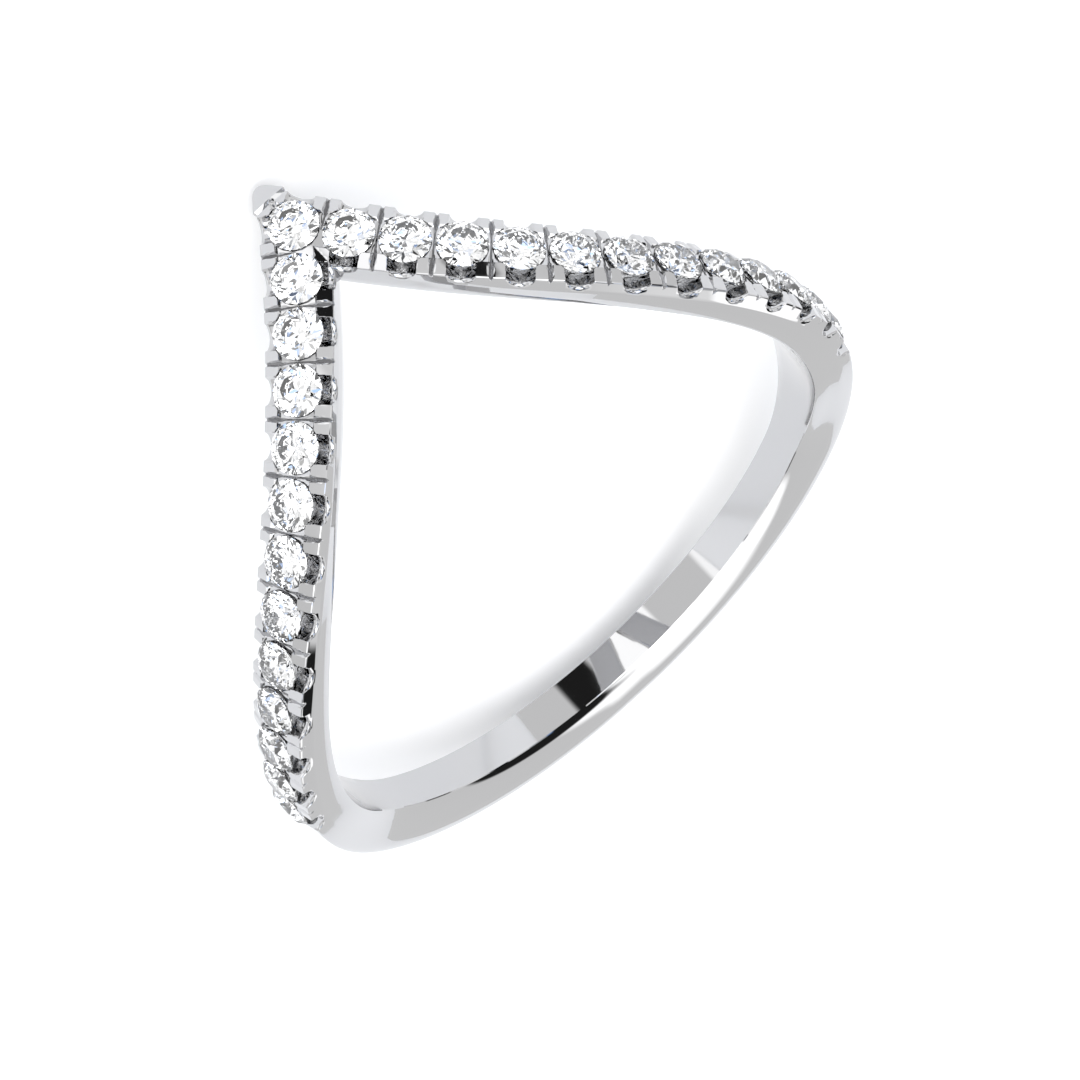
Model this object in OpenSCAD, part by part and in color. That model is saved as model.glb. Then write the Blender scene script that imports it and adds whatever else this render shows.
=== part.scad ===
// Chevron ring: a cast band whose two arms rise to a point, with a row of round stones set
// over the point and down both arms. The ring is drawn in its own frame first, with the finger
// along Y, the point of the chevron at the top and leaning to +Y. It is then laid down on its
// point and the back of its shank, as it rests on a table by itself.

/* [Finger hole] */
// Radius of the finger hole
bore_r = 8.5; // [7.5:0.1:10.5]
// Chamfer on both edges of the finger hole
bore_edge = 0.06; // [0.03:0.01:0.1]

/* [Chevron] */
// How far the row of stones rises along the finger at the point
point_rise = 8.6; // [6:0.1:9.5]
// Angle round the finger at which an arm has run level into the shank
arm_angle = 131; // [115:1:140]
// Power of the arm's fall: higher is a sharper point
arm_power = 3.5; // [3:0.1:4]
// Radius of the outer corner at the point
corner_r = 0.35; // [0.15:0.05:0.45]

/* [Stones] */
// Diameter of a stone across its girdle
stone_d = 1.4; // [1.2:0.05:1.44]
// Distance between the centres of neighbouring stones
stone_pitch = 1.49; // [1.46:0.01:1.55]
// Number of stones on each arm, beside the one at the point
stones_an_arm = 12; // [8:1:12]
// Height of the girdles over the finger hole at the point
girdle_h_point = 1.08; // [1.0:0.01:1.2]
// Height of the girdles over the finger hole at the sides
girdle_h_side = 1.34; // [1.2:0.01:1.5]
// Clearance between a stone and its seat
seat_gap = 0.02; // [0.01:0.005:0.03]

/* [Setting] */
// Half width of the arms at the widest
arm_half_w = 0.96; // [0.9:0.01:1.05]
// Half width of the arms at the finger hole
arm_half_in = 0.82; // [0.7:0.01:0.88]
// How much further the arms' near walls reach at the finger hole in the crook of the point
crook_flare = 0.18; // [0:0.02:0.24]
// Height of the prongs over the girdles
prong_h = 0.06; // [0.04:0.01:0.15]
// How far the prongs' heads fall from the stones to the walls
prong_fall = 0.1; // [0.05:0.01:0.14]
// Chamfer on the heads of the prongs
prong_edge = 0.05; // [0.03:0.01:0.08]
// Depth of a scallop under the girdles
scallop_depth = 0.36; // [0.3:0.01:0.46]
// Width of a scallop between the prongs beside it
scallop_w = 0.79; // [0.7:0.01:0.84]
// Width of the groove that splits a pillar into two prongs
groove_w = 0.18; // [0.12:0.01:0.2]
// Depth of the groove under the girdles
groove_depth = 0.2; // [0.16:0.01:0.3]
// Chamfer along the walls' upper edges
ledge = 0.06; // [0.03:0.01:0.08]
// Height of the corner prong at the point over the girdles
corner_prong_h = 0.24; // [0.16:0.01:0.3]
// How much further than the walls the corner prong stands out
corner_bulge = 0.08; // [0:0.01:0.1]
// Angle at which the ridge of the corner prong falls towards the tip
corner_fall = 18; // [5:1:25]

/* [Shank] */
// Half width of the shank at the widest
shank_half_w = 0.88; // [0.8:0.02:1]
// Half width of the shank at the finger hole
shank_half_in = 0.58; // [0.5:0.01:0.7]
// Thickness of the shank at the sides
shank_t_side = 1.54; // [1.4:0.01:1.7]
// Thickness of the shank at the back
shank_t_back = 1.66; // [1.5:0.01:2]
// Angle round the ring that the flat at its back takes up, on which it lies
rest_flat = 9; // [6:0.5:12]

/* [Hidden] */
$fn = 48;
gold = [0.83, 0.84, 0.86];
clear = [0.88, 0.93, 1, 0.7];
rad = PI / 180;
overcut = 0.2;
girdle_r = bore_r + girdle_h_point;

// Angles round the ring from the point, at the side and at the back of the finger
side_at = 90;
back_at = 180;

// Names of the nodes: the band, the stone at the point and the stones of both arms
function pad(i) = i < 10 ? str("0", i) : str(i);

// The row's rise along the finger, a degrees round from the point, and its slope there in
// millimetres a radian. Before the point the arm runs straight on, for the mitre.
function slope(a) = -point_rise * arm_power / (arm_angle * rad)
    * pow(max(0, 1 - max(a, 0) / arm_angle), arm_power - 1);
function rise(a) = a < 0 ? point_rise + slope(0) * a * rad
    : point_rise * pow(max(0, 1 - a / arm_angle), arm_power);
function run(a) = norm([girdle_r, slope(a)]);
function girdle_h(a) = girdle_h_point
    + (girdle_h_side - girdle_h_point) * pow(min(a, side_at) / side_at, 2);

// Where along the arm, in degrees, a line at the distance b beside the row meets the mirror
// plane of the chevron. The lines of both arms are mitred there.
function mitre(b, a = 0, n = 6) = n == 0 ? a
    : mitre(b, b * slope(a) / run(a) / girdle_r / rad, n - 1);
mitre_end = 24;

// A point of the band: a degrees round, b beside the row and h over the finger hole
function along(a, b) = a + mitre(b) * max(0, 1 - a / mitre_end);
function around(c, b) = c - b * slope(c) / run(c) / girdle_r / rad;
function wrapped(c, b, h) = [
    (bore_r + h) * sin(around(c, b)),
    rise(c) + b * girdle_r / run(c),
    (bore_r + h) * cos(around(c, b))
];
function on_band(a, b, h) = wrapped(along(a, b), b, h);

// Half sections from the finger hole to the top, as [half width, height]. The arm's wall leans
// out from the finger hole, goes straight up past the grooves' ends and is chamfered, and the
// prongs' heads rise from there towards the stones.
wall_gap = 0.02;
head_share = 0.6;
function arm_section(g, half_in = arm_half_in) = [
    [half_in - bore_edge - overcut, -overcut],
    [half_in, bore_edge],
    [arm_half_w, g - scallop_depth - wall_gap],
    [arm_half_w, g - groove_depth],
    [arm_half_w, g + prong_h - prong_fall - ledge],
    [arm_half_w - ledge, g + prong_h - prong_fall],
    [arm_half_w * head_share, g + prong_h],
    [arm_half_w / 3, g + prong_h]
];
// The shank's section, as shares of its half width and of its thickness
SHARE_W = 0;
SHARE_T = 1;
SHANK = [[0.79, 0.28], [0.92, 0.6], [1, 0.82], [0.96, 0.93], [0.82, 0.985], [0.3, 1]];
function shank_section(t) = concat(
    [[shank_half_in - bore_edge - overcut, -overcut], [shank_half_in, bore_edge]],
    [for (s = SHANK) [s[SHARE_W] * shank_half_w, s[SHARE_T] * t]]
);
function smooth(x) = let (u = min(1, max(0, x))) u * u * (3 - 2 * u);

// Seats: each stone is one pitch from the one before, found by halving an interval
function seat_point(a) = wrapped(a, 0, girdle_h(a));
function next_seat(p, lo, hi, n = 24) = let (mid = (lo + hi) / 2)
    n == 0 ? mid
    : norm(seat_point(mid) - p) < stone_pitch ? next_seat(p, mid, hi, n - 1)
    : next_seat(p, lo, mid, n - 1);
function seats(n) = n == 0 ? [0]
    : let (s = seats(n - 1), last = s[n - 1])
      concat(s, [next_seat(seat_point(last), last, last + widest_pitch)]);
widest_pitch = 20;
SEATS = seats(stones_an_arm);
last_seat = SEATS[stones_an_arm];

// Angles round the ring, from the point: where the setting ends, where it has eased into the
// shank and where the flat starts that the ring lies on, and the steps between stations
set_margin = 5;
ease_out = 28;
set_end = last_seat + set_margin;
shank_start = set_end + ease_out;
arm_step = 3;
shank_step = 4.5;
flat_start = back_at - rest_flat / 2;

// The sweep's stations round half of the ring, closer together along the arms
function stations(a) = a >= flat_start ? [flat_start]
    : concat([a], stations(a + (a < shank_start ? arm_step : shank_step)));
HALF = stations(0);
function half_section(a, half_in = arm_half_in) = let (
        k = smooth((a - set_end) / (shank_start - set_end)),
        t = shank_t_side + (shank_t_back - shank_t_side) * smooth((a - side_at) / (back_at - side_at)),
        arm = arm_section(girdle_h(a), half_in),
        shank = shank_section(t)
    )
    [for (i = [0 : len(arm) - 1]) arm[i] * (1 - k) + shank[i] * k];
crook_end = 32;
function loop(a) = let (
        far = half_section(a),
        near = half_section(a, arm_half_in + crook_flare * max(0, 1 - a / crook_end)),
        n = len(far)
    )
    concat(
        [for (i = [0 : n - 1]) on_band(a, far[i][0], far[i][1])],
        [for (i = [n - 1 : -1 : 0]) on_band(a, -near[i][0], near[i][1])]
    );
function mirrored(points) = [for (p = points) [-p[0], p[1], p[2]]];
RIGHT = [for (a = HALF) loop(a)];
BACK = RIGHT[len(RIGHT) - 1];
LOOPS = concat(RIGHT, [for (i = [len(RIGHT) - 1 : -1 : 1]) mirrored(RIGHT[i])]);

// The point's outer corner, rounded by an upright cylinder, and how the ring lies: it rests on
// the foot of that corner and on the back of the shank. mitre_k is how much longer a distance
// beside the row gets along the mirror plane.
mitre_k = run(0) / girdle_r;
corner_mid = rise(0) + (arm_half_w - corner_r) * mitre_k;
corner_y = corner_mid + corner_r;
corner_b = (corner_y - rise(0)) / mitre_k;
ARM0 = arm_section(girdle_h_point);
corner_h = corner_b < arm_half_in ? max(0, bore_edge - arm_half_in + corner_b)
    : bore_edge + (ARM0[2][1] - bore_edge) * (corner_b - arm_half_in) / (arm_half_w - arm_half_in);
tip = [corner_y, bore_r + corner_h];
function reach(p, t) = p[0] * cos(t) - p[1] * sin(t);
steepest_lean = 60;
function lean(lo = 0, hi = steepest_lean, n = 24) = let (mid = (lo + hi) / 2)
    n == 0 ? mid
    : max([for (p = BACK) reach([p[1], p[2]], mid)]) < reach(tip, mid) ? lean(mid, hi, n - 1)
    : lean(lo, mid, n - 1);
rest_lean = lean();
rest_drop = reach(tip, rest_lean);

// The ring's reach along the table, towards the point and towards the back
function ahead(y, z) = y * sin(rest_lean) + z * cos(rest_lean);
ALL = [for (l = LOOPS) for (p = l) ahead(min(p[1], corner_y), p[2])];
head_y = corner_y + corner_bulge * mitre_k;
head_top = girdle_r + corner_prong_h / cos(corner_fall)
    - (head_y - rise(0) - stone_d / 2) * tan(corner_fall);
rest_front = max(max(ALL), ahead(head_y, head_top));
rest_back = min(ALL);

module laid_down() {
    translate([0, (rest_front + rest_back) / 2, rest_drop])
        rotate([0, 0, 180])
            rotate([rest_lean - 90, 0, 0])
                children();
}

// The plain band: the loops joined into one closed sweep, its inside cut to the finger hole
module blank() {
    m = len(LOOPS[0]);
    n = len(LOOPS);
    faces = [for (i = [0 : n - 1]) for (j = [0 : m - 1]) let (
            a = i * m + j,
            b = i * m + (j + 1) % m,
            c = ((i + 1) % n) * m + (j + 1) % m,
            d = ((i + 1) % n) * m + j
        ) each [[a, c, b], [a, d, c]]];
    difference() {
        polyhedron(points = [for (l = LOOPS) each l], faces = faces);
        rotate([90, 0, 0]) cylinder(h = 4 * point_rise, r = bore_r, center = true, $fn = 180);
    }
}

// Children placed on the row, a degrees round: X runs along the row, Y across it, Z outwards
module on_row(a) {
    translate(seat_point(a)) rotate([0, a, 0]) rotate([0, 0, atan2(slope(a), girdle_r)]) children();
}

// Children placed on the stone at the point, X across the ring and Y along the finger
module on_point() {
    translate(seat_point(0)) children();
}

module both_sides() {
    children();
    mirror([1, 0, 0]) children();
}

// A profile drawn along the row and outwards, cut across the row from y0 to y1
module across(y0, y1) {
    translate([0, y1, 0]) rotate([90, 0, 0]) linear_extrude(y1 - y0) children();
}
clear_h = 1;
cut_half = arm_half_w + overcut;

// What a stone's seat takes out: a cone for the pavilion and a shaft for the girdle and crown
module seat() {
    r = stone_d / 2 + seat_gap;
    depth = stone_d * pavilion_share + 3 * seat_gap;
    rotate_extrude()
        polygon([[0, -depth], [3 * seat_gap, -depth], [r, -seat_gap], [r, clear_h], [0, clear_h]]);
}

// A scallop through the walls under a stone: round below, widening up to the prongs' heads
module scallop_profile() {
    r = scallop_w / 2;
    foot = r - scallop_depth;
    head = max(prong_h, foot + prong_edge);
    translate([0, foot]) circle(r);
    polygon([
        [-r, foot], [r, foot], [r + prong_edge, head], [r + prong_edge, clear_h],
        [-r - prong_edge, clear_h], [-r - prong_edge, head]
    ]);
}

// The V groove that splits a pillar, widening between the prongs' heads
module groove_profile() {
    w = groove_w / 2;
    polygon([
        [0, -groove_depth], [w, 0], [w, prong_h - prong_edge], [w + prong_edge, prong_h],
        [w + prong_edge, clear_h], [-w - prong_edge, clear_h], [-w - prong_edge, prong_h],
        [-w, prong_h - prong_edge], [-w, 0]
    ]);
}

// The corner prong over the point: a kite with a round tip that stands out a little beyond the
// walls, under a low roof whose ridge falls towards the tip
module corner_prong() {
    angle = atan2(girdle_r, -slope(0));
    side = stone_d / 2;
    outer = (arm_half_w + corner_bulge) * mitre_k;
    eaves = corner_prong_h - side * sin(angle) / 2;
    mid = outer - corner_r * mitre_k;
    tangent = [corner_r * cos(angle), mid + corner_r * sin(angle)];
    wing = [side * sin(angle), outer - side * cos(angle)];
    on_point() intersection() {
        translate([0, 0, -groove_depth]) linear_extrude(clear_h) {
            translate([0, mid]) circle(corner_r);
            polygon([
                tangent, wing, [0, outer - 2 * side], [-wing[0], wing[1]], [-tangent[0], tangent[1]]
            ]);
        }
        translate([0, side, 0]) rotate([-corner_fall, 0, 0]) across(-outer, outer) polygon([
            [-side, -clear_h], [side, -clear_h], [side, eaves], [0, corner_prong_h], [-side, eaves]
        ]);
    }
}

// What rounds the point's outer corner: a block beyond the walls less an upright cylinder
module corner_waste() {
    angle = atan2(girdle_r, -slope(0));
    translate([0, corner_mid, bore_r - clear_h]) linear_extrude(4 * clear_h) difference() {
        translate([-corner_r, corner_r * sin(angle)]) square([2 * corner_r, 2 * corner_r * mitre_k]);
        circle(corner_r);
    }
}

module band() {
    color(gold) difference() {
        union() {
            difference() {
                blank();
                corner_waste();
            }
            corner_prong();
        }
        on_point() seat();
        both_sides() {
            on_row(0) across(0, cut_half) scallop_profile();
            on_row(SEATS[1] / 2) across(-ledge, cut_half) groove_profile();
            for (k = [1 : stones_an_arm]) on_row(SEATS[k]) {
                seat();
                across(-cut_half, cut_half) scallop_profile();
            }
            for (k = [1 : stones_an_arm - 1])
                on_row((SEATS[k] + SEATS[k + 1]) / 2) across(-cut_half, cut_half) groove_profile();
        }
    }
}

// A round brilliant: eight kites round the table, their neighbours down to a girdle with
// sixteen sides, and eight long facets with their neighbours down to the culet
table_share = 0.56;
crown_share = 0.15;
girdle_share = 0.03;
pavilion_share = 0.43;
star_r = 0.76;
lower_r = 0.28;
function ring(r, z, n, turn) = [for (i = [0 : n - 1]) let (a = 360 * (i + turn) / n) [r * cos(a), r * sin(a), z]];
module brilliant() {
    r = stone_d / 2;
    hg = girdle_share * stone_d / 2;
    hc = crown_share * stone_d;
    hp = pavilion_share * stone_d - hg;
    half = cos(22.5);
    z_star = hg + hc * (1 - star_r * half) / (1 - table_share);
    z_low = -hg - hp * (1 - lower_r * half);
    points = concat(
        ring(r * table_share, hg + hc, 8, 0),
        ring(r * star_r, z_star, 8, 0.5),
        ring(r, hg, 16, 0),
        ring(r, -hg, 16, 0),
        ring(r * lower_r, z_low, 8, 0.5),
        [[0, 0, -hg - hp]]
    );
    t = 0;
    s = 8;
    u = 16;
    l = 32;
    q = 48;
    culet = 56;
    faces = concat(
        [[for (i = [7 : -1 : 0]) t + i]],
        [for (i = [0 : 7]) let (j = (i + 1) % 8) [t + i, t + j, s + i]],
        [for (i = [0 : 7]) [t + i, s + i, u + 2 * i, s + (i + 7) % 8]],
        [for (i = [0 : 7]) [s + i, u + 2 * i + 1, u + 2 * i]],
        [for (i = [0 : 7]) [s + i, u + (2 * i + 2) % 16, u + 2 * i + 1]],
        [for (i = [0 : 15]) let (j = (i + 1) % 16) [u + i, u + j, l + j, l + i]],
        [for (i = [0 : 7]) [q + i, l + 2 * i, l + 2 * i + 1]],
        [for (i = [0 : 7]) [q + i, l + 2 * i + 1, l + (2 * i + 2) % 16]],
        [for (i = [0 : 7]) [q + i, culet, q + (i + 7) % 8, l + 2 * i]]
    );
    color(clear) polyhedron(points = points, faces = faces);
}

module stone(side, k) {
    mirror([side, 0, 0]) on_row(SEATS[k]) brilliant();
}

module stone_point() {
    on_point() brilliant();
}

laid_down() band();
laid_down() stone_point();
for (k = [1 : stones_an_arm]) {
    laid_down() stone(0, k);
    laid_down() stone(1, k);
}
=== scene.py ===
"""A chevron ring of polished white gold, set with round brilliants along both of its arms.

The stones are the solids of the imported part. The band is drawn again here as one smooth
surface with its seats, scallops, prongs and grooves, in the same frame and to nearly the same sizes.
The lengths in the dataclasses are in millimetres and the meshes are in metres.
"""

import logging
import math
from dataclasses import dataclass, field
from enum import Enum
from typing import Any

import bpy
import numpy as np
from mathutils import Matrix, Vector

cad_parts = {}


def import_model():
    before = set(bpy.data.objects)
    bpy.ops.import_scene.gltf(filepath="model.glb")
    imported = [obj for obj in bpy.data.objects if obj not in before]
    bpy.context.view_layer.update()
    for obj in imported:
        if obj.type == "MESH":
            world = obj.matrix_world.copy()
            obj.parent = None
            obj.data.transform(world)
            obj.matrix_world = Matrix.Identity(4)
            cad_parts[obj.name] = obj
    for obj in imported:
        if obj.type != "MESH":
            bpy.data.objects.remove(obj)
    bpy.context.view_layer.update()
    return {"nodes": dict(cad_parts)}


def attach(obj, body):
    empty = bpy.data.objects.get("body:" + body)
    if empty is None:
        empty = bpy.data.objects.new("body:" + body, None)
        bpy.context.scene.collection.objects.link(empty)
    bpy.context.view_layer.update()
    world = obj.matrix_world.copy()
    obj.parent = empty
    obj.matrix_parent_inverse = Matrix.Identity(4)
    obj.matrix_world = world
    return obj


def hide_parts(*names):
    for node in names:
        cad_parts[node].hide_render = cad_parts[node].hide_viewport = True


LOG = logging.getLogger("chevron_ring")
MM = 0.001
FLOOR_HALF = 0.6
BEYOND = 9.0  # millimetres: more than any width or height of the band
ON_PLANE = 1e-5  # millimetres: a point nearer than this to the mirror plane is put on it
JOIN_REACH = 2e-7  # metres: points closer than this are one
SHARP = math.radians(30)


class Side(Enum):
    """Which edge of the band a half section belongs to: the far one faces the point's corner."""

    FAR = 1
    NEAR = -1


class Slot(Enum):
    """The record's material slots."""

    METAL = "white_gold"
    STONE = "diamond"


def linear(hex_colour: str) -> tuple[float, float, float, float]:
    """Turns an sRGB hex colour to linear light.

    Args:
        hex_colour: Six hex digits, such as "e6e7ea".

    Returns:
        Red, green, blue and alpha, from 0 to 1.
    """
    parts = np.array([int(hex_colour[i : i + 2], 16) for i in (0, 2, 4)]) / 255
    low, high = parts / 12.92, ((parts + 0.055) / 1.055) ** 2.4
    return (*np.where(parts <= 0.04045, low, high).tolist(), 1.0)


def add_node(
    tree: bpy.types.NodeTree,
    kind: str,
    settings: dict[str, Any] | None = None,
    links: dict[Any, Any] | None = None,
) -> bpy.types.Node:
    """Adds a shader node with its settings and the links into it.

    Args:
        tree: The node tree that gets the node.
        kind: The node's type, such as "ShaderNodeTexNoise".
        settings: Values by name: an input socket's name or number, or else a property.
        links: Output sockets by the input that each one feeds.

    Returns:
        The new node.
    """
    node = tree.nodes.new(kind)
    for name, value in (settings or {}).items():
        if isinstance(name, int) or name in node.inputs:
            node.inputs[name].default_value = value
        else:
            setattr(node, name, value)
    for name, socket in (links or {}).items():
        tree.links.new(socket, node.inputs[name])
    return node


def new_material(name: str) -> tuple[bpy.types.Material, bpy.types.NodeTree, bpy.types.Node]:
    """Makes an empty node material.

    Args:
        name: The material's name.

    Returns:
        The material, its node tree and its output node.
    """
    material = bpy.data.materials.new(name)
    material.use_nodes = True
    tree = material.node_tree
    tree.nodes.clear()
    return material, tree, tree.nodes.new("ShaderNodeOutputMaterial")


@dataclass(frozen=True)
class PolishedWhiteGold:
    """White gold, cast, plated with rhodium and mirror polished."""

    colour: str = "c2c2c3"
    roughness: float = 0.03
    rough_shares: tuple[float, float] = (0.7, 1.4)
    wheel_mark_mm: float = 0.25
    marks_a_cell: int = 4
    mark_range: tuple[float, float] = (0.3, 0.7)
    mark_detail: float = 2.0
    mark_softness: float = 0.45
    mark_strength: float = 0.05
    mark_depth_mm: float = 0.0006

    def material(self) -> bpy.types.Material:
        """Makes the metal: a clean, nearly neutral mirror whose polish is a little uneven.

        The polishing wheel leaves soft marks about a quarter of a millimetre apart, far
        shallower than a hair, so the reflections waver slightly along the band.

        Returns:
            The material.
        """
        material, tree, output = new_material("polished_white_gold")
        where = add_node(tree, "ShaderNodeTexCoord")
        marks = add_node(
            tree,
            "ShaderNodeTexNoise",
            {
                "Scale": 1 / (self.wheel_mark_mm * MM * self.marks_a_cell),
                "Detail": self.mark_detail,
                "Roughness": self.mark_softness,
            },
            {"Vector": where.outputs["Object"]},
        )
        polish = add_node(
            tree,
            "ShaderNodeMapRange",
            {
                "From Min": self.mark_range[0],
                "From Max": self.mark_range[1],
                "To Min": self.roughness * self.rough_shares[0],
                "To Max": self.roughness * self.rough_shares[1],
            },
            {"Value": marks.outputs["Fac"]},
        )
        bump = add_node(
            tree,
            "ShaderNodeBump",
            {"Strength": self.mark_strength, "Distance": self.mark_depth_mm * MM},
            {"Height": marks.outputs["Fac"]},
        )
        shader = add_node(
            tree,
            "ShaderNodeBsdfPrincipled",
            {"Base Color": linear(self.colour), "Metallic": 1.0},
            {"Roughness": polish.outputs["Result"], "Normal": bump.outputs["Normal"]},
        )
        tree.links.new(shader.outputs[0], output.inputs["Surface"])
        return material


@dataclass(frozen=True)
class CutDiamond:
    """Clear diamond, cut and polished: nothing on it is rough, and it bends light strongly."""

    colour: str = "ffffff"
    ior: float = 2.417

    def material(self) -> bpy.types.Material:
        """Makes the stone: a clear dielectric with diamond's index, which gives its sparkle.

        Returns:
            The material.
        """
        material, tree, output = new_material("cut_diamond")
        shader = add_node(
            tree,
            "ShaderNodeBsdfPrincipled",
            {
                "Base Color": linear(self.colour),
                "Roughness": 0.0,
                "IOR": self.ior,
                "Transmission Weight": 1.0,
            },
        )
        tree.links.new(shader.outputs[0], output.inputs["Surface"])
        return material


@dataclass(frozen=True)
class WhitePaper:
    """The matt white sweep that the ring lies on, lit a little from below as on a light table."""

    colour: str = "f8f8f8"
    roughness: float = 0.9
    sheen: float = 0.2
    glow: float = 0.2

    def material(self) -> bpy.types.Material:
        """Makes the floor's matt white, whose glow keeps the shadows faint.

        Returns:
            The material.
        """
        material, tree, output = new_material("white_paper")
        shader = add_node(
            tree,
            "ShaderNodeBsdfPrincipled",
            {
                "Base Color": linear(self.colour),
                "Roughness": self.roughness,
                "Specular IOR Level": self.sheen,
                "Emission Color": linear(self.colour),
                "Emission Strength": self.glow,
            },
        )
        tree.links.new(shader.outputs[0], output.inputs["Surface"])
        return material


@dataclass(frozen=True)
class Rest:
    """How the ring lies: on the corner of its point and on the flat at the back of its shank."""

    lean: float = math.radians(26.2133)
    middle: float = 1.834995
    lift: float = 5.18037

    def placed(self, points: np.ndarray) -> np.ndarray:
        """Lays points of the upright ring down.

        The upright ring has the finger along Y and the point at the top. It is turned
        about X until it leans as it rests, turned half round about Z, and lifted.

        Args:
            points: Points of the upright ring, (..., 3), in millimetres.

        Returns:
            The same points in the part's frame, in metres.
        """
        c, s = math.cos(self.lean - math.pi / 2), math.sin(self.lean - math.pi / 2)
        x, y, z = points[..., 0], points[..., 1], points[..., 2]
        laid = np.stack([-x, -(y * c - z * s) + self.middle, y * s + z * c + self.lift], -1)
        return laid * MM


@dataclass(frozen=True)
class Row:
    """The line that the stones stand on: over the point and down both arms."""

    bore_r: float = 8.5
    point_rise: float = 8.6
    arm_angle: float = math.radians(131)
    arm_power: float = 3.5
    girdle_point: float = 1.08
    girdle_side: float = 1.34
    pitch: float = 1.49
    stones: int = 12
    furthest_step: float = 0.35
    halvings: int = 40

    @property
    def girdle_r(self) -> float:
        """Radius of the girdles at the point."""
        return self.bore_r + self.girdle_point

    @property
    def point_tan(self) -> float:
        """How far a mitred line runs along the row for each unit beside it."""
        return -float(self.slope(0.0)) / self.girdle_r

    def slope(self, a: np.ndarray) -> np.ndarray:
        """The row's slope: minus a power of what is left of the arm, straight before the point.

        Args:
            a: Angles round the finger from the point, in radians.

        Returns:
            Millimetres along the finger for each radian.
        """
        left = np.clip(1 - np.maximum(a, 0) / self.arm_angle, 0, None)
        return -self.point_rise * self.arm_power / self.arm_angle * left ** (self.arm_power - 1)

    def rise(self, a: np.ndarray) -> np.ndarray:
        """The row's place along the finger: the slope's sum, with a straight run before the point.

        Args:
            a: Angles round the finger from the point, in radians.

        Returns:
            Millimetres along the finger.
        """
        left = np.clip(1 - np.maximum(a, 0) / self.arm_angle, 0, None)
        return self.point_rise * left**self.arm_power + self.slope(0.0) * np.minimum(a, 0)

    def run(self, a: np.ndarray) -> np.ndarray:
        """Length of the row for each radian: the hypotenuse of the girdles' radius and the slope."""
        return np.hypot(self.girdle_r, self.slope(a))

    def girdle(self, a: np.ndarray) -> np.ndarray:
        """Height of the girdles over the finger hole, rising with the square of the angle."""
        share = np.clip(a, 0, math.pi / 2) / (math.pi / 2)
        return self.girdle_point + (self.girdle_side - self.girdle_point) * share**2

    def around(self, a: np.ndarray, b: np.ndarray) -> np.ndarray:
        """Angle round the finger of a point b beside the row, on the line square to it at a."""
        return a - b * self.slope(a) / self.run(a) / self.girdle_r

    def along(self, a: np.ndarray, b: np.ndarray) -> np.ndarray:
        """Place along the finger of a point b beside the row, on the line square to it at a."""
        return self.rise(a) + b * self.girdle_r / self.run(a)

    def held(self, a: np.ndarray, b: np.ndarray) -> np.ndarray:
        """Distances beside the row, held on this side of the ring's mirror plane.

        The line square to the row at a meets the plane where the angle round the finger,
        a less b times the slope over the run and the radius, is nothing.

        Args:
            a: Angles along the row.
            b: Distances beside it, positive towards the point's corner.

        Returns:
            The same distances, none of them beyond the plane.
        """
        near = np.minimum(a, self.arm_angle / 2)
        return np.maximum(b, near * self.run(near) * self.girdle_r / self.slope(near))

    def point(self, a: np.ndarray, b: np.ndarray, h: np.ndarray) -> np.ndarray:
        """Wraps plan coordinates round the finger.

        Args:
            a: Angle along the row.
            b: Distance beside the row.
            h: Height over the finger hole.

        Returns:
            Points of the upright ring, (..., 3).
        """
        turn, r = self.around(a, b), self.bore_r + h
        return np.stack([r * np.sin(turn), self.along(a, b) + 0 * r, r * np.cos(turn)], -1)

    def girdle_point_at(self, a: float) -> np.ndarray:
        """The point of the upright ring on the row, at the height of the girdles."""
        return self.point(np.array(a), np.array(0.0), self.girdle(a))

    def seats(self) -> np.ndarray:
        """Angles of the seats: each is one pitch from the last, found by halving an interval.

        Returns:
            The angles of the stone at the point and of one arm's stones.
        """
        found = [0.0]
        for _ in range(self.stones):
            start = self.girdle_point_at(found[-1])
            low, high = found[-1], found[-1] + self.furthest_step
            for _ in range(self.halvings):
                mid = (low + high) / 2
                step = np.linalg.norm(self.girdle_point_at(mid) - start)
                low, high = (mid, high) if step < self.pitch else (low, mid)
            found.append(low)
        return np.array(found)


@dataclass(frozen=True)
class Setting:
    """Sizes of the seats, scallops, prongs, grooves and walls, and of the point's corner."""

    # the stones and their seats
    stone_d: float = 1.4
    seat_gap: float = 0.02
    pavilion: float = 0.43
    # the walls: half widths at the top and at the finger hole, and the flare inside the crook
    half_w: float = 0.96
    half_in: float = 0.82
    bore_edge: float = 0.018
    wall_break: float = 0.5
    crook_flare: float = 0.18
    crook_end: float = math.radians(32)
    # the prongs' heads over the girdles, with the bevel that steps down to the ledge
    prong_h: float = 0.047
    prong_fall: float = 0.114
    prong_edge: float = 0.025
    head_in: float = 0.5
    head_drop: float = 0.1
    head_bevel: float = 0.07
    # the scallops, the grooves and the rounded lips
    scallop_w: float = 0.79
    scallop_depth: float = 0.36
    scallop_lip: float = 0.1
    groove_middle: float = 0.1
    groove_depth: float = 0.2
    groove_slope: float = 2.2
    lip: float = 0.045
    lip_ease: float = 0.08
    # the point's corner: its rounding, how its head stands out, and the head's roof and bevel
    corner_r: float = 0.35
    corner_h: float = 0.24
    corner_bulge: float = 0.08
    bulge_from: float = 0.45
    bulge_ease: float = 0.06
    head_step: float = 0.05
    corner_fall: float = math.radians(18)
    corner_slope: float = 0.29
    corner_in: float = 0.86
    corner_bevel: float = 0.09
    corner_spread: float = 0.12
    corner_from: float = 0.4
    corner_ease: float = 0.05
    # from the last seat to where the shank begins
    set_end: float = math.radians(5)


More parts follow.
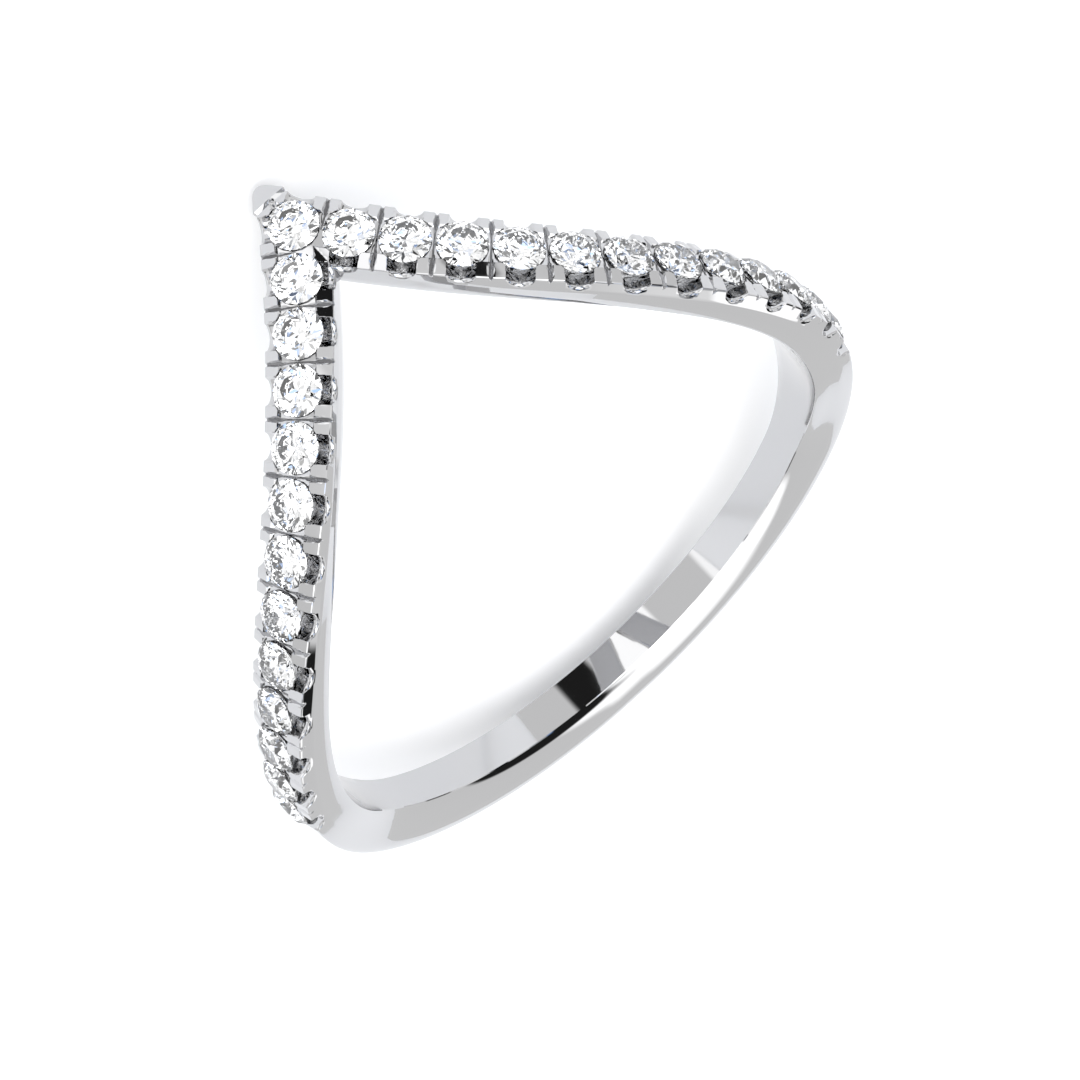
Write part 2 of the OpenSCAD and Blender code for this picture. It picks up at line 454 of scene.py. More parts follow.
@dataclass(frozen=True)
class Shank:
    """Sizes of the plain shank, and its half section as shares of its half width and thickness."""

    half_w: float = 0.878
    half_in: float = 0.58
    t_side: float = 1.54
    t_back: float = 1.654
    flat: float = math.radians(9)
    ease_out: float = math.radians(28)
    width_cap: float = 0.98
    widths: tuple[float, ...] = (0.659, 0.72, 0.79, 0.92, 0.99, 0.96, 0.82, 0.55, 0.3, 0.0)
    heights: tuple[float, ...] = (0.036, 0.14, 0.28, 0.6, 0.82, 0.93, 0.985, 0.998, 1.0, 1.0)

    def thickness(self, a: np.ndarray) -> np.ndarray:
        """Thickness of the shank, easing from the sides to the back."""
        return self.t_side + (self.t_back - self.t_side) * ease((a - math.pi / 2) / (math.pi / 2))

    def section(self, u: np.ndarray) -> tuple[np.ndarray, np.ndarray]:
        """The half section's curve, a smooth curve through the table's points.

        Args:
            u: Shares of the way from the finger hole's edge to the middle of the top.

        Returns:
            Half widths in millimetres, and heights as shares of the thickness.
        """
        width = np.minimum(smooth_through(u, np.array(self.widths)), self.width_cap)
        return width * self.half_w, smooth_through(u, np.array(self.heights))

    def flattened(self, turn: np.ndarray, h: np.ndarray, bore_r: float) -> np.ndarray:
        """Heights with the flat at the back that the ring lies on: a chord for each arc.

        Args:
            turn: Angles round the finger from the point.
            h: Heights over the finger hole.
            bore_r: Radius of the finger hole.

        Returns:
            The heights, less where the flat is.
        """
        off = np.minimum(np.abs(turn - math.pi), self.flat / 2)
        chord = (bore_r + h) * math.cos(self.flat / 2) / np.cos(off) - bore_r
        return h + (chord - h) * np.clip(2 * h, 0, 1)


def ease(x: np.ndarray) -> np.ndarray:
    """Eases from 0 to 1: three times the square less twice the cube, held outside."""
    x = np.clip(x, 0, 1)
    return x * x * (3 - 2 * x)


def smooth_through(u: np.ndarray, values: np.ndarray) -> np.ndarray:
    """A cubic through evenly spaced values, with each slope taken from the neighbours.

    Args:
        u: Places from 0 to 1.
        values: The values at even steps from 0 to 1.

    Returns:
        The curve's values at u.
    """
    slopes = np.gradient(values)
    x = np.clip(u, 0, 1) * (len(values) - 1)
    i = np.minimum(x.astype(int), len(values) - 2)
    t = x - i
    h00, h10 = 2 * t**3 - 3 * t**2 + 1, t**3 - 2 * t**2 + t
    h01, h11 = -2 * t**3 + 3 * t**2, t**3 - t**2
    return h00 * values[i] + h10 * slopes[i] + h01 * values[i + 1] + h11 * slopes[i + 1]


@dataclass
class Band:
    """The cast band: shank, arms and setting as one closed surface."""

    row: Row = field(default_factory=Row)
    setting: Setting = field(default_factory=Setting)
    shank: Shank = field(default_factory=Shank)
    rest: Rest = field(default_factory=Rest)
    finish: PolishedWhiteGold = field(default_factory=PolishedWhiteGold)
    name: str = "band_polished"

    # Where half a pitch is sampled, in millimetres from a stone's centre: closely at the
    # scallop's rim, at the prong's edges and at the groove. RIM_STEP is the rim's last one.
    # The corner is sampled in shares of the way to its wall's tip, and then on to its head's.
    STEPS = (
        (0.0, 0.07, 0.14, 0.2, 0.26, 0.31, 0.35, 0.375, 0.388, 0.395, 0.408, 0.42)
        + (0.46, 0.5, 0.54, 0.58, 0.61, 0.628, 0.655, 0.685, 0.715)
    )
    RIM_STEP = 11
    CORNER_STEPS = (
        (1.0, 0.963, 0.925, 0.88, 0.835, 0.79, 0.75, 0.715, 0.68, 0.65, 0.625, 0.6, 0.575, 0.55)
        + (0.525, 0.5, 0.48, 0.465, 0.45, 0.435, 0.42, 0.405, 0.39)
    )
    HEAD_STEPS = (1.0, 0.92, 0.75, 0.5, 0.2)
    BACK_STEPS = 64

    # Where a half section is sampled: shares of the wall's lower part, depths under the
    # girdles of its upper part's first and last sample, turns of the lip in degrees, and
    # shares of the top outside, across and inside the heads' bevel, and of the seat.
    BODY_SHARES = (0.1, 0.55, 0.92, 1.0)
    WALL_TOPS = (0.4, 0.14)
    LIP_TURNS = (0.0, 30.0, 60.0, 90.0)
    HEAD_SHARES = (0.25, 0.5, 0.75, 1.0)
    BEVEL_SHARES = (0.5, 1.0)
    LEDGE_SHARES = (0.2, 0.4, 0.6, 0.8, 1.0)
    SEAT_SHARES = (1.0, 0.85, 0.66, 0.45, 0.22, 0.0)

    # Shares of the way along the shank's section that suit the samples above, and shares of
    # the way across the finger hole's wall.
    SHANK_SHARES = np.concatenate(
        [[0.0], np.linspace(0.04, 0.55, 8), [0.59, 0.63, 0.67, 0.7], np.linspace(0.72, 1, 11), np.ones(6)]
    )
    BORE_SHARES = np.linspace(0.024, 0.976, 7)

    # The row's length is summed over so many even angles, from a little before the point.
    SUM_FROM = -0.12
    SUM_STEPS = 8000

    def __post_init__(self) -> None:
        """Works out the seats, the gaps between them and the row's length."""
        self.seats = self.row.seats()
        self.gaps = (self.seats[:-1] + self.seats[1:]) / 2
        self.fine = np.linspace(self.SUM_FROM, math.pi, self.SUM_STEPS)
        steps = self.row.run((self.fine[1:] + self.fine[:-1]) / 2) * np.diff(self.fine)
        self.lengths = np.concatenate([[0.0], np.cumsum(steps)])
        self.lengths -= np.interp(0.0, self.fine, self.lengths)
        self.set_end = self.seats[-1] + self.setting.set_end

    def length_at(self, a: np.ndarray) -> np.ndarray:
        """Length along the row from the point to the angle a."""
        return np.interp(a, self.fine, self.lengths)

    def stations(self) -> np.ndarray:
        """Angles at which the surface is sampled, close together where the setting has edges.

        Returns:
            Rising angles from beyond the point's corner to the back of the shank.
        """
        steps = np.array(self.STEPS)
        seats, gaps = self.length_at(self.seats), self.length_at(self.gaps)
        half = self.row.pitch / 2
        wall, head = self.tip(0.0), self.tip(self.setting.corner_bulge)
        places = [
            -wall - (head - wall) * np.array(self.HEAD_STEPS),
            -wall * np.array(self.CORNER_STEPS),
            -steps[self.RIM_STEP : 0 : -1],
        ]
        for k, centre in enumerate(seats):
            if k:
                places.append(centre - steps[:0:-1] * (centre - gaps[k - 1]) / half)
            if k < len(gaps):
                places += [centre + steps * (gaps[k] - centre) / half, gaps[k : k + 1]]
            else:
                places.append(centre + steps)
        angles = np.interp(np.concatenate(places), self.lengths, self.fine)
        return np.concatenate([angles, np.linspace(angles[-1], math.pi, self.BACK_STEPS)[1:]])

    def local(self, centre: float, a: np.ndarray, b: np.ndarray) -> tuple[np.ndarray, np.ndarray, np.ndarray]:
        """Plan coordinates on the flat of a seat: the point's offset, turned to the row's direction.

        Args:
            centre: The seat's angle.
            a: Angles along the row.
            b: Distances beside it.

        Returns:
            Distance along the row, distance across it and the cosine of the turn from the seat.
        """
        turn = self.row.around(a, b) - centre
        flat = (self.row.bore_r + self.row.girdle(centre)) * np.tan(turn)
        up = self.row.along(a, b) - self.row.rise(centre)
        angle = math.atan2(float(self.row.slope(centre)), self.row.girdle_r)
        return (
            flat * math.cos(angle) + up * math.sin(angle),
            up * math.cos(angle) - flat * math.sin(angle),
            np.cos(turn),
        )

    def lifted(self, centre: float, z: np.ndarray, cosine: np.ndarray) -> np.ndarray:
        """Height over the finger hole of a point z above the flat of a seat."""
        return (self.row.bore_r + self.row.girdle(centre) + z) / cosine - self.row.bore_r

    def heads(self, a: np.ndarray, b: np.ndarray) -> np.ndarray:
        """Height of the prongs' heads over the girdles.

        A head falls evenly from the stones to the wall, and steps down over a bevel to a
        ledge beside the stones.

        Args:
            a: Angles along the row.
            b: Distances beside it.

        Returns:
            Heights over the girdles.
        """
        s, across = self.setting, np.abs(b)
        out = np.clip((across - s.head_in) / (s.half_w - s.head_in), 0, 1)
        inward = np.clip((s.head_in + s.head_bevel / 2 - across) / s.head_bevel, 0, 1)
        return s.prong_h - s.prong_fall * out - s.head_drop * inward + 0 * a

    def top(self, a: np.ndarray, b: np.ndarray) -> np.ndarray:
        """Height of the setting outside the seats.

        It is the least of the heads, the scallops and the grooves. A scallop is the lower arc
        of a circle with a narrow bevel at the heads, and a groove is a V that deepens towards
        the wall. Over the point's corner a roof takes over, whose ridge falls towards the
        tip, past a bevel.

        Args:
            a: Angles along the row.
            b: Distances beside it, held on this side of the mirror plane.

        Returns:
            Heights over the finger hole.
        """
        s = self.setting
        height = self.row.girdle(a) + self.heads(a, b)
        r, e = s.scallop_w / 2, s.prong_edge
        foot = r - s.scallop_depth
        rim = s.prong_h - foot
        for k, centre in enumerate(self.seats):
            lx, ly, cosine = self.local(centre, a, b)
            lx = np.abs(lx)
            z = np.where(lx < r, foot - np.sqrt(np.clip(r * r - lx * lx, 0, None)), foot + (lx - r) / e * rim)
            cut = (lx < r + e) & (np.abs(ly) < 2 * s.half_w) & ((k > 0) | (ly > 0))
            height = np.where(cut, np.minimum(height, self.lifted(centre, z, cosine)), height)
        for k, centre in enumerate(self.gaps):
            lx, ly, cosine = self.local(centre, a, b)
            share = np.clip(np.abs(ly) / s.half_w, 0, 1)
            z = -s.groove_middle - (s.groove_depth - s.groove_middle) * share + np.abs(lx) * s.groove_slope
            cut = (np.abs(lx) < s.stone_d / 4) & (np.abs(ly) < 2 * s.half_w) & ((k > 0) | (ly > 0))
            height = np.where(cut, np.minimum(height, self.lifted(centre, z, cosine)), height)
        turn = self.row.around(a, b)
        beside = np.abs(self.row.girdle_r * np.sin(turn))
        ahead = self.row.along(a, b) - self.row.rise(0.0)
        share = np.clip((ahead - s.corner_in - s.corner_spread * beside) / s.corner_bevel, 0, 1)
        share = share * (b > 0) * (a < 0)
        roof = s.corner_h - (ahead - s.stone_d / 2) * math.tan(s.corner_fall) - s.corner_slope * beside
        return height * (1 - share) + self.lifted(0.0, roof, np.cos(turn)) * share

    def seat_floor(self, own: np.ndarray, a: np.ndarray, b: np.ndarray) -> np.ndarray:
        """Height inside a seat: a cone that follows the stone's pavilion at the seat's clearance.

        Args:
            own: The number of the nearest seat.
            a: Angles along the row.
            b: Distances beside it.

        Returns:
            Heights over the finger hole.
        """
        s = self.setting
        r, depth, foot = s.stone_d / 2 + s.seat_gap, s.stone_d * s.pavilion + 3 * s.seat_gap, 3 * s.seat_gap
        height = self.top(a, b)
        for k, centre in enumerate(self.seats):
            lx, ly, cosine = self.local(centre, a, b)
            away = np.hypot(lx, ly)
            share = np.clip((away - foot) / (r - foot), 0, 1)
            cone = self.lifted(centre, -depth + (depth - s.seat_gap) * share, cosine)
            inside = (own == k) & (away < r + s.seat_gap / 2)
            height = np.where(inside, np.minimum(height, cone), height)
        return height

    def outline(self, x: np.ndarray, beyond: np.ndarray) -> np.ndarray:
        """Half width of the far wall, with the point's corner rounded by a circle.

        The circle's middle is on the mirror plane, and it is followed as far as the plane.

        Args:
            x: Lengths along the row.
            beyond: How much further than the wall it stands out.

        Returns:
            Half widths.
        """
        r, middle = self.setting.corner_r, self.setting.half_w - self.setting.corner_r + beyond
        past = np.clip(-x, middle * self.row.point_tan, self.tip(beyond)) - middle * self.row.point_tan
        return middle + np.sqrt(r * r - past * past)

    def tip(self, beyond: np.ndarray) -> np.ndarray:
        """Length along the row, before the point, at which the rounded corner meets the plane."""
        tan, r = self.row.point_tan, self.setting.corner_r
        return (self.setting.half_w - r + beyond) * tan + r * tan / math.hypot(1, tan)

    def corner_foot(self, a: np.ndarray) -> np.ndarray:
        """Lowest height at each station: past the wall's own tip only the corner prong's head is left.

        The head stands out over the wall, so its underside meets the mirror plane where the
        blend of the two outlines does.

        Args:
            a: The stations' angles.

        Returns:
            Heights over the finger hole, well below it where the wall is whole.
        """
        s, x = self.setting, self.length_at(a)
        wall, head = self.outline(x, 0.0), self.outline(x, s.corner_bulge)
        share = np.clip((self.row.held(a, 0 * a - BEYOND) - wall) / (head - wall), 0, 1)
        foot = self.row.girdle(a) - s.groove_depth - (1 - share) * s.head_step
        return np.where(share > 0, foot, -BEYOND)

    def inner(self, a: np.ndarray, side: Side) -> np.ndarray:
        """Half width at the finger hole, which flares on the near side inside the crook."""
        flare = self.setting.crook_flare * np.clip(1 - a / self.setting.crook_end, 0, 1)
        return self.setting.half_in + (flare if side is Side.NEAR else 0 * a)

    def wall(self, a: np.ndarray, side: Side, h: np.ndarray) -> np.ndarray:
        """Half width of a wall: out from the finger hole, then straight up.

        At the point's corner the far wall is rounded, and its head stands out over it.

        Args:
            a: Angles along the row.
            side: The band's edge.
            h: Heights over the finger hole.

        Returns:
            Half widths.
        """
        s, girdle, inner = self.setting, self.row.girdle(a), self.inner(a, side)
        low = inner + (s.half_w - inner) * np.clip(h / (girdle - s.wall_break), 0, 1)
        if side is Side.NEAR:
            return low
        x = self.length_at(a)
        bulge = s.corner_bulge * ease((-x - s.bulge_from) / s.bulge_ease)
        head = np.clip((h - girdle + s.groove_depth) / s.head_step + 1, 0, 1)
        plain, out = np.minimum(low, self.outline(x, 0.0)), np.minimum(low + bulge, self.outline(x, bulge))
        return plain * (1 - head) + out * head

    def lip(self, a: np.ndarray, side: Side) -> np.ndarray:
        """Radius of the rounded lip, which is larger where a scallop runs out through the wall.

        Args:
            a: Angles along the row.
            side: The band's edge. The stone at the point has no scallop on the near one.

        Returns:
            Radii.
        """
        s, seats = self.setting, self.seats if side is Side.FAR else self.seats[1:]
        from_seat = np.abs(self.length_at(a) - self.length_at(seats)).min(1, keepdims=True)
        return s.lip + (s.scallop_lip - s.lip) * ease((s.scallop_w / 2 - from_seat) / s.lip_ease)

    def seat_rim(self, own: np.ndarray, a: np.ndarray, side: Side) -> np.ndarray:
        """Half width of a seat's rim, found by trying again from the last place.

        Args:
            own: The number of the nearest seat.
            a: Angles along the row.
            side: The band's edge.

        Returns:
            Half widths, 0 between the seats.
        """
        radius = self.setting.stone_d / 2 + self.setting.seat_gap
        rim = np.zeros_like(a)
        for _ in range(5):
            places = (self.local(c, a, side.value * rim)[0] * (own == k) for k, c in enumerate(self.seats))
            along = sum(places)
            rim = np.sqrt(np.clip(radius**2 - along * along, 0, None))
        return rim

    def top_samples(self, a: np.ndarray, side: Side, edge: np.ndarray, rim: np.ndarray) -> np.ndarray:
        """Where the top is sampled, from the lip to the seat's rim.

        The samples lie between the edges of a bevel: the heads' own, or the corner's past it.

        Args:
            a: Angles along the row.
            side: The band's edge.
            edge: Half widths of the lip's inner edge.
            rim: Half widths of the seat's rim.

        Returns:
            Half widths, (stations, samples).
        """
        s, x, least = self.setting, self.length_at(a), rim
        outer, inner = s.head_in + s.head_bevel / 2 + 0 * a, s.head_in - s.head_bevel / 2 + 0 * a
        if side is Side.FAR:
            tan, size = self.row.point_tan, math.hypot(1, self.row.point_tan)
            lean, cross = (tan + s.corner_spread) / size, (1 - s.corner_spread * tan) / size
            corner = ease((-x - s.corner_from) / s.corner_ease)
            outer = outer + ((s.corner_in + s.corner_bevel + lean * x) / cross - outer) * corner
            inner = inner + ((s.corner_in + lean * x) / cross - inner) * corner
            least = np.maximum(rim, self.row.held(a, 0 * a - BEYOND))
        least = np.minimum(least, edge)
        outer, inner = np.clip(outer, least, edge), np.clip(inner, least, edge)
        return np.concatenate(
            [
                edge + (outer - edge) * np.array(self.HEAD_SHARES),
                outer + (inner - outer) * np.array(self.BEVEL_SHARES),
                inner + (rim - inner) * np.array(self.LEDGE_SHARES),
            ],
            1,
        )

    def into_shank(
        self, a: np.ndarray, side: Side, b: np.ndarray, h: np.ndarray
    ) -> tuple[np.ndarray, np.ndarray]:
        """Eases the setting's half section into the shank's, past the last seat.

        Args:
            a: The stations' angles.
            side: The band's edge.
            b: Signed distances beside the row.
            h: Heights over the finger hole.

        Returns:
            Signed distances and heights, eased.
        """
        foot = self.setting.bore_edge
        shank_b, shank_h = self.shank.section(self.SHANK_SHARES)
        shank_b[0] = self.shank.half_in - foot
        shank_h = shank_h * self.shank.thickness(a)
        shank_h[:, 0] = foot
        k = ease((a - self.set_end) / self.shank.ease_out)
        return b * (1 - k) + side.value * shank_b * k, h * (1 - k) + shank_h * k

    def half(self, a: np.ndarray, side: Side) -> tuple[np.ndarray, np.ndarray]:
        """One side's half section at each station, from the finger hole's edge to the row.

        It climbs the wall to the lip, goes round the lip, crosses the heads or the scallop
        to the rim of the seat, and runs down the seat. Past the setting it eases into the
        shank's section.

        Args:
            a: The stations' angles.
            side: The band's edge.

        Returns:
            Signed distances beside the row and heights, each (stations, samples).
        """
        s, sign = self.setting, side.value
        a = a[:, None]
        girdle, lip = self.row.girdle(a), self.lip(a, side)
        edge_h = girdle + self.heads(a, s.half_w + 0 * a)
        for _ in range(3):
            edge_b = self.wall(a, side, edge_h - lip) - lip
            edge_h = self.top(a, self.row.held(a, sign * edge_b))
        low, high = self.WALL_TOPS
        body = np.array(self.BODY_SHARES) * (girdle - s.wall_break)
        tops = girdle - np.array([low, s.groove_depth + s.head_step, s.groove_depth, high])
        wall_h = np.minimum(np.concatenate([body, tops], 1), edge_h - lip)
        own = np.abs(self.length_at(a) - self.length_at(self.seats)).argmin(1)[:, None]
        rim = np.minimum(self.seat_rim(own, a, side), edge_b)
        parts = [
            self.inner(a, side) - s.bore_edge,
            self.wall(a, side, wall_h),
            edge_b + lip * np.cos(np.radians(self.LIP_TURNS)),
            self.top_samples(a, side, edge_b, rim),
            rim * np.array(self.SEAT_SHARES),
        ]
        b = self.row.held(a, sign * np.concatenate(parts, 1))
        above, seat = 1 + wall_h.shape[1], b.shape[1] - len(self.SEAT_SHARES)
        past = np.clip(np.abs(b[:, above:]) - edge_b, 0, lip)
        skin = np.concatenate([self.top(a, b[:, above:seat]), self.seat_floor(own, a, b[:, seat:])], 1)
        skin = np.where(past > 0, edge_h, skin) + (np.sqrt(lip**2 - past**2) - lip)
        h = np.concatenate([0 * a + s.bore_edge, wall_h, skin], 1)
        return self.into_shank(a, side, b, h)

    def surface(self) -> tuple[np.ndarray, np.ndarray]:
        """The whole band: half of it worked out on a grid, and the other half mirrored.

        Returns:
            Points in the part's frame, in metres, and four corners for each face.
        """
        a = self.stations()
        (far_b, far_h), (near_b, near_h) = self.half(a, Side.FAR), self.half(a, Side.NEAR)
        a = a[:, None]
        bore_b = near_b[:, :1] + (far_b[:, :1] - near_b[:, :1]) * self.BORE_SHARES
        beside = np.concatenate([self.row.held(a, bore_b), far_b, near_b[:, -2::-1]], 1)
        height = np.concatenate([0 * bore_b, far_h, near_h[:, -2::-1]], 1)
        height = np.maximum(height, self.corner_foot(a))
        height = self.shank.flattened(self.row.around(a, beside), height, self.row.bore_r)
        right = self.row.point(a, beside, height)
        right[..., 0] = np.where(np.abs(right[..., 0]) < ON_PLANE, 0.0, right[..., 0])
        right[-1, :, 0] = 0.0
        rows, columns = right.shape[:2]
        i, j = np.meshgrid(np.arange(rows - 1), np.arange(columns), indexing="ij")
        after = (j + 1) % columns
        this, following = i * columns, (i + 1) * columns
        quads = np.stack([this + j, this + after, following + after, following + j], -1).reshape(-1, 4)
        flat = right.reshape(-1, 3)
        quads = quads[np.abs(flat[quads][..., 0]).max(1) > 0]
        points = np.concatenate([flat, flat * [-1.0, 1.0, 1.0]])
        faces = np.concatenate([quads, quads[:, ::-1] + len(flat)])
        return self.rest.placed(points), faces

    def build(self) -> bpy.types.Object:
        """Makes the band's mesh, joins its two halves and marks its sharp edges.

        Returns:
            The band's object.
        """
        points, faces = self.surface()
        points, faces = joined(points, faces, JOIN_REACH)
        obj = mesh_object(self.name, points, faces)
        obj.data.set_sharp_from_angle(angle=SHARP)
        return obj

    def dress(self, obj: bpy.types.Object) -> None:
        """Gives the band its metal and puts it in the frame.

        Args:
            obj: The band's object.
        """
        obj.data.materials.append(self.finish.material())
        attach(obj, "root")
        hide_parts("band")


def joined(points: np.ndarray, faces: np.ndarray, reach: float) -> tuple[np.ndarray, list[list[int]]]:
    """Joins points closer than reach and drops corners and faces that this makes empty.

    Args:
        points: The points, (n, 3).
        faces: Four corners for each face.
        reach: The rounding that makes two points one.

    Returns:
        The points that are left, and each face's three or four corners.
    """
    cells = np.round(points / reach).astype(np.int64)
    _, first, same = np.unique(cells, axis=0, return_index=True, return_inverse=True)
    quads = same.reshape(-1)[faces]
    used, quads = np.unique(quads, return_inverse=True)
    quads = quads.reshape(-1, 4)
    new = quads != np.roll(quads, 1, axis=1)
    keep = new.sum(1) >= 3
    quads, new = quads[keep], new[keep]
    left = [q[n].tolist() for q, n in zip(quads, new)]
    return points[first[used]], [face for face in left if len(set(face)) == len(face)]


def mesh_object(name: str, points: np.ndarray, faces: list[list[int]]) -> bpy.types.Object:
    """Makes a smooth shaded mesh object at the origin.

    Args:
        name: The object's name.
        points: Its points, in metres.
        faces: Each face's corners.

    Returns:
        The object, in the scene.
    """
    mesh = bpy.data.meshes.new(name)
    mesh.from_pydata(points.tolist(), [], faces)
    mesh.validate()
    mesh.shade_smooth()
    obj = bpy.data.objects.new(name, mesh)
    bpy.context.scene.collection.objects.link(obj)
    return obj


@dataclass
class Stones:
    """The brilliants: the solids of the part, each with the diamond's finish."""

    finish: CutDiamond = field(default_factory=CutDiamond)

    def dress(self, nodes: dict[str, bpy.types.Object]) -> int:
        """Gives every stone the diamond's finish.

        Args:
            nodes: The part's nodes by name.

        Returns:
            How many stones there are.
        """
        material = self.finish.material()
        stones = [node for name, node in nodes.items() if name.startswith("stone")]
        for stone in stones:
            for slot in stone.material_slots:
                slot.material = material
        return len(stones)


@dataclass(frozen=True)
class Panel:
    """A round lamp or a dark flag on the tent, seen from the ring, with a soft edge."""

    azimuth: float
    elevation: float
    radius: float
    light: float
    colour: str = "ffffff"
    edge: float = 2.0

    @property
    def direction(self) -> tuple[float, float, float]:
        """The way from the ring to the panel's middle."""
        a, e = math.radians(self.azimuth), math.radians(self.elevation)
        return math.cos(e) * math.cos(a), math.cos(e) * math.sin(a), math.sin(e)

    @property
    def radiance(self) -> tuple[float, float, float, float]:
        """The panel's colour times its light."""
        return (*(self.light * x for x in linear(self.colour)[:3]), 1.0)


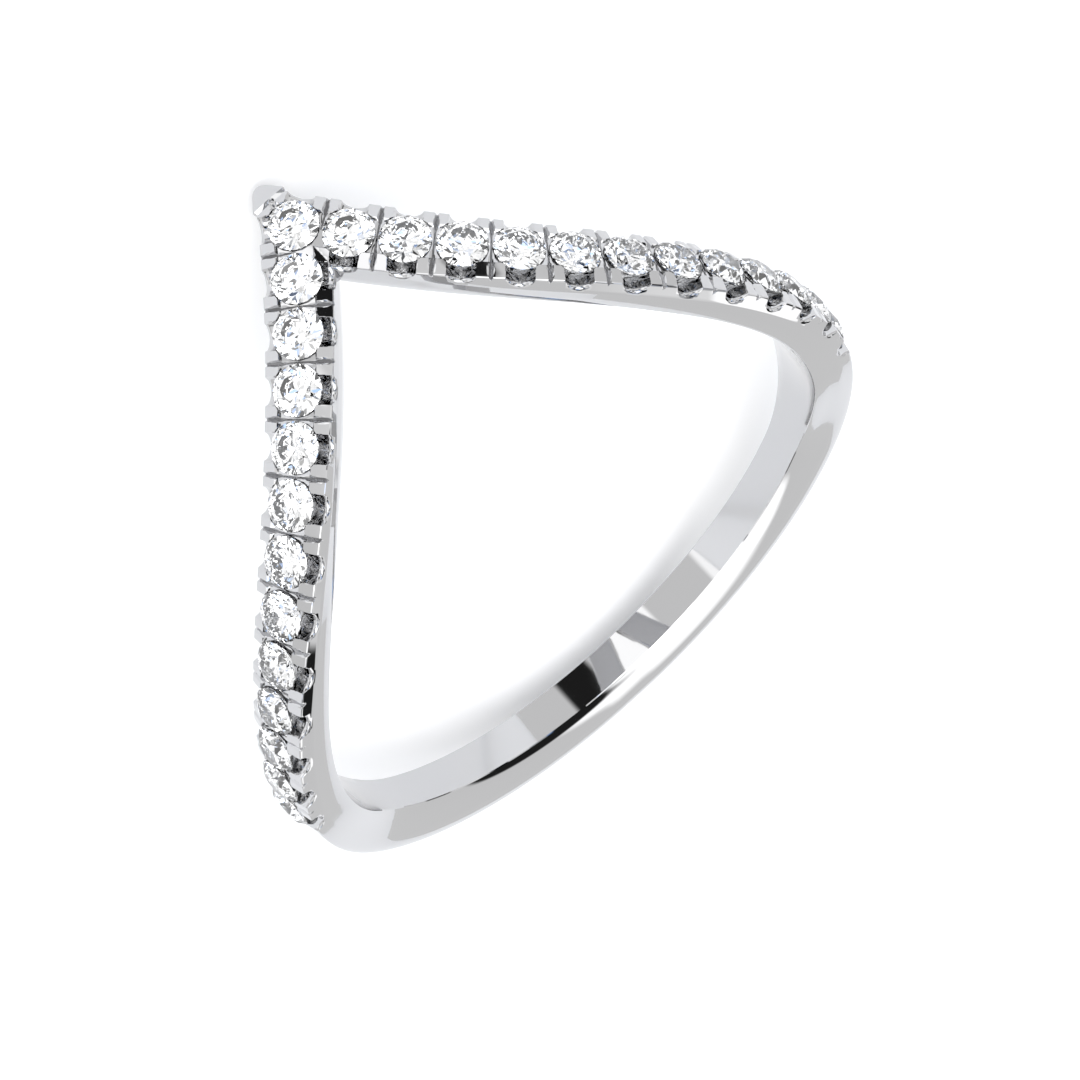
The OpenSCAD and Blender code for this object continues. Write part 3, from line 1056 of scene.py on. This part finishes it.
@dataclass
class Studio:
    """The white sweep, the soft light and the camera."""

    paper: WhitePaper = field(default_factory=WhitePaper)
    lens: float = 169.626
    camera_mm: tuple[float, float, float] = (15.5155, -93.6025, 103.796)
    forward: tuple[float, float, float] = (-0.112272, 0.685783, -0.719094)
    up: tuple[float, float, float] = (-0.663733, -0.590311, -0.459338)
    sensor_mm: float = 36.0
    clip_m: tuple[float, float] = (0.005, 10.0)
    key_mm: tuple[float, float, float] = (20, -110, 300)
    key_size_mm: float = 260
    key_watts: float = 0.25
    # the tent's light, low and high, and the heights between which it rises and the cells begin
    tent_light: tuple[float, float] = (0.95, 1.45)
    tent_rise: tuple[float, float] = (0.3, 0.6)
    cloth_rise: tuple[float, float] = (0.5, 0.6)
    cloth_scale: float = 5.0
    cloth_tones: tuple[tuple[float, str], ...] = (
        (0.0, "121316"),
        (0.35, "1b1d21"),
        (0.4, "8fb0e6"),
        (0.46, "ffffff"),
        (0.62, "ffffff"),
        (0.7, "a4a6a9"),
    )
    panels: tuple[Panel, ...] = (
        Panel(-70, 68, 16, 2.4),
        Panel(-10, 55, 14, 2.2),
        Panel(-155, 63, 8, 0.02),
        Panel(-110, 13, 9, 0.02),
        Panel(-86, 10, 12, 1.8),
        Panel(90, 24, 9, 1.9),
        Panel(106, 26, 7, 0.02),
        Panel(-40, 4, 8, 1.7),
        Panel(30, 15, 5, 0.3),
        Panel(157, 15, 5, 0.2),
        Panel(150, 40, 3, 1.6, "a8c8ff"),
        Panel(45, 60, 4, 1.5, "a4caff"),
        Panel(-125, 46, 5, 0.05),
        Panel(180, 75, 6, 0.05),
        Panel(60, 80, 5, 0.05),
        Panel(120, 60, 6, 1.6),
        Panel(0, 78, 4, 1.8, "a4caff"),
        Panel(75, 48, 5, 0.05),
        Panel(-100, 34, 4, 1.7, "b0d0ff"),
        Panel(170, 55, 5, 1.7),
        Panel(15, 50, 5, 1.8),
    )

    def floor(self) -> None:
        """Lays a square sheet at the height of the table."""
        corners = np.array([[-1, -1, 0], [1, -1, 0], [1, 1, 0], [-1, 1, 0]]) * FLOOR_HALF
        obj = mesh_object("floor", corners.astype(float), [[0, 1, 2, 3]])
        obj.data.materials.append(self.paper.material())

    def light(self) -> None:
        """Hangs the key light, a square soft light that faces the ring."""
        data = bpy.data.lights.new("key_light", "AREA")
        data.shape, data.size, data.energy = "SQUARE", self.key_size_mm * MM, self.key_watts
        obj = bpy.data.objects.new("key_light", data)
        place = Vector(self.key_mm) * MM
        turn = (-place).to_track_quat("-Z", "Y").to_matrix().to_4x4()
        obj.matrix_world = Matrix.Translation(place) @ turn
        bpy.context.scene.collection.objects.link(obj)

    def sky(self) -> None:
        """Surrounds the ring with a soft white tent, its lamps and its dark flags.

        The tent's upper part is patched from pale, grey and dark cells, which the stones and
        the metal reflect. Each panel is then laid over it.
        """
        world = bpy.data.worlds.new("tent")
        bpy.context.scene.world = world
        world.use_nodes = True
        tree = world.node_tree
        tree.nodes.clear()
        where = add_node(tree, "ShaderNodeTexCoord").outputs["Generated"]
        height = add_node(tree, "ShaderNodeSeparateXYZ", {}, {0: where}).outputs["Z"]
        wall = add_node(
            tree,
            "ShaderNodeMapRange",
            {
                "From Min": self.tent_rise[0],
                "From Max": self.tent_rise[1],
                "To Min": self.tent_light[0],
                "To Max": self.tent_light[1],
            },
            {"Value": height},
        )
        cells = add_node(tree, "ShaderNodeTexVoronoi", {"Scale": self.cloth_scale}, {"Vector": where})
        cloth = add_node(tree, "ShaderNodeValToRGB", {}, {"Fac": cells.outputs["Color"]})
        cloth.color_ramp.elements.remove(cloth.color_ramp.elements[1])
        cloth.color_ramp.elements[0].color = linear(self.cloth_tones[0][1])
        for place, tone in self.cloth_tones[1:]:
            cloth.color_ramp.elements.new(place).color = linear(tone)
        high = add_node(
            tree,
            "ShaderNodeMapRange",
            {"From Min": self.cloth_rise[0], "From Max": self.cloth_rise[1]},
            {"Value": height},
        )
        sewn = add_node(
            tree,
            "ShaderNodeMix",
            {"data_type": "RGBA", "blend_type": "MULTIPLY"},
            {0: high.outputs["Result"], 6: wall.outputs["Result"], 7: cloth.outputs["Color"]},
        )
        colour = sewn.outputs[2]
        for panel in self.panels:
            toward = add_node(
                tree, "ShaderNodeVectorMath", {"operation": "DOT_PRODUCT", 1: panel.direction}, {0: where}
            )
            reach = add_node(
                tree,
                "ShaderNodeMapRange",
                {
                    "interpolation_type": "SMOOTHSTEP",
                    "From Min": math.cos(math.radians(panel.radius + panel.edge)),
                    "From Max": math.cos(math.radians(panel.radius)),
                },
                {"Value": toward.outputs["Value"]},
            )
            mix = add_node(
                tree,
                "ShaderNodeMix",
                {"data_type": "RGBA", 7: panel.radiance},
                {0: reach.outputs["Result"], 6: colour},
            )
            colour = mix.outputs[2]
        back = add_node(tree, "ShaderNodeBackground", {"Strength": 1.0}, {"Color": colour})
        output = add_node(tree, "ShaderNodeOutputWorld")
        tree.links.new(back.outputs[0], output.inputs["Surface"])

    def camera(self) -> None:
        """Places the camera at the photograph's angle."""
        data = bpy.data.cameras.new("camera")
        data.lens, data.sensor_width, data.sensor_fit = self.lens, self.sensor_mm, "HORIZONTAL"
        data.clip_start, data.clip_end = self.clip_m
        obj = bpy.data.objects.new("camera", data)
        forward, up = Vector(self.forward).normalized(), Vector(self.up)
        right = forward.cross(up).normalized()
        up = right.cross(forward)
        turn = Matrix((right, up, -forward)).transposed().to_4x4()
        obj.matrix_world = Matrix.Translation(Vector(self.camera_mm) * MM) @ turn
        bpy.context.scene.collection.objects.link(obj)
        bpy.context.scene.camera = obj

    def build(self) -> None:
        """Sets up the camera, the floor and the light."""
        self.camera()
        self.floor()
        self.sky()
        self.light()
        bpy.context.scene.view_settings.view_transform = "Standard"


def main() -> None:
    """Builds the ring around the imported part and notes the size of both."""
    logging.basicConfig(level=logging.INFO, format="%(name)s: %(message)s")
    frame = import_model()
    Studio().build()
    band = Band()
    body = band.build()
    band.dress(body)
    LOG.info("%s: %d points, %d faces", body.name, len(body.data.vertices), len(body.data.polygons))
    LOG.info("stones: %d", Stones().dress(frame["nodes"]))


if __name__ == "__main__":
    main()
